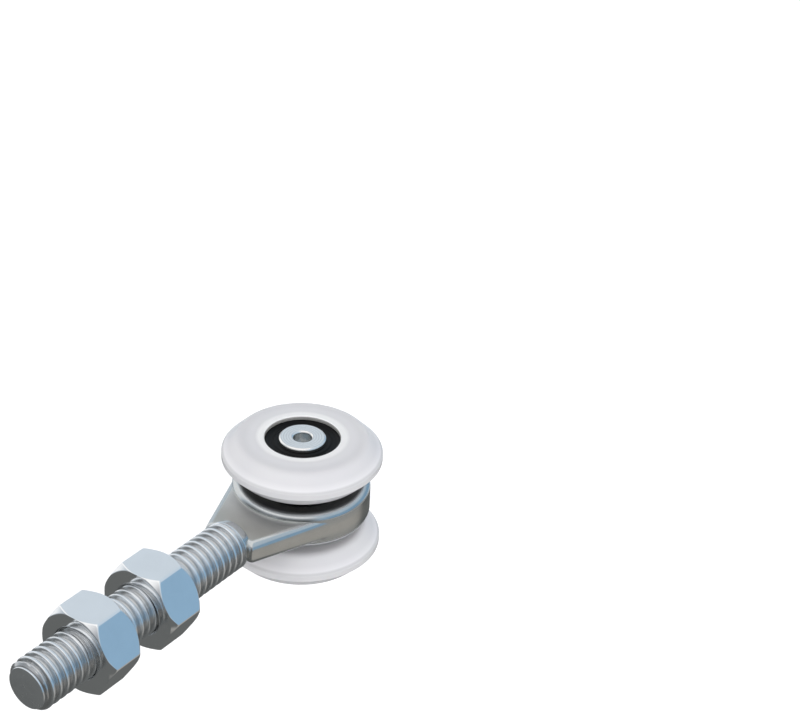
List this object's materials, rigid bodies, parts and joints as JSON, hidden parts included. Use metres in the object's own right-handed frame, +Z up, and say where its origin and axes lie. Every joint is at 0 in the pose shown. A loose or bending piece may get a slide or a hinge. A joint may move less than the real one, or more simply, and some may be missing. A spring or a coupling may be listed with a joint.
{
  "type": "sliding gate trolley",
  "caption": "Threaded eye bolt carrying a white double-cone roller on each side of its forged eye, with hexagon nuts on the shank to clamp a gate bracket.",
  "frame": {"origin": "centre of the eye, on the axle, halfway between the two wheels", "axes": "+Z up along the axle as pictured, the threaded shank points along -Y, the wheels roll along X"},
  "size_m": [0.0382, 0.1116, 0.0322],
  "materials": {
    "zinc_plated_forging": "bright zinc plated",
    "zinc_plated_nut": "bright zinc plated",
    "zinc_plated_axle": "bright zinc plated",
    "white_nylon": "satin, slightly translucent",
    "bearing_steel": "ground",
    "seal_rubber": "smooth black",
    "cage_polyamide": "natural polyamide"
  },
  "bodies": {
    "eye_bolt_and_axle": {"eye_bolt": "zinc_plated_forging", "axle_pin": "zinc_plated_axle", "upper_spacer": "zinc_plated_axle", "lower_spacer": "zinc_plated_axle", "upper_bearing_inner_ring": "bearing_steel", "lower_bearing_inner_ring": "bearing_steel"},
    "upper_wheel": {"upper_wheel": "white_nylon", "upper_bearing_outer_ring": "bearing_steel", "upper_outer_seal": "seal_rubber", "upper_inner_seal": "seal_rubber"},
    "upper_ball_set": {"upper_bearing_balls": "bearing_steel", "upper_bearing_cage": "cage_polyamide"},
    "lower_wheel": {"lower_wheel": "white_nylon", "lower_bearing_outer_ring": "bearing_steel", "lower_outer_seal": "seal_rubber", "lower_inner_seal": "seal_rubber"},
    "lower_ball_set": {"lower_bearing_balls": "bearing_steel", "lower_bearing_cage": "cage_polyamide"},
    "front_nut": {"front_nut": "zinc_plated_nut"},
    "rear_nut": {"rear_nut": "zinc_plated_nut"}
  },
  "joints": [
    {"name": "upper_wheel_spin", "type": "hinge", "parent": "eye_bolt_and_axle", "child": "upper_wheel", "pos_m": [0, 0, 0.0115], "axis": [0, 0, 1], "continuous": true},
    {"name": "upper_ball_set_spin", "type": "hinge", "parent": "eye_bolt_and_axle", "child": "upper_ball_set", "pos_m": [0, 0, 0.0115], "axis": [0, 0, 1], "continuous": true},
    {"name": "lower_wheel_spin", "type": "hinge", "parent": "eye_bolt_and_axle", "child": "lower_wheel", "pos_m": [0, 0, -0.0115], "axis": [0, 0, 1], "continuous": true},
    {"name": "lower_ball_set_spin", "type": "hinge", "parent": "eye_bolt_and_axle", "child": "lower_ball_set", "pos_m": [0, 0, -0.0115], "axis": [0, 0, 1], "continuous": true},
    {"name": "front_nut_travel", "type": "slide", "parent": "eye_bolt_and_axle", "child": "front_nut", "axis": [0, -1, 0], "range_m": [-0.0045, 0.013]},
    {"name": "rear_nut_travel", "type": "slide", "parent": "eye_bolt_and_axle", "child": "rear_nut", "axis": [0, -1, 0], "range_m": [-0.019, 0.0045]}
  ],
  "couplings": [
    {"joint": "upper_ball_set_spin", "follows": "upper_wheel_spin", "ratio": 0.6323},
    {"joint": "lower_ball_set_spin", "follows": "lower_wheel_spin", "ratio": 0.6323}
  ]
}
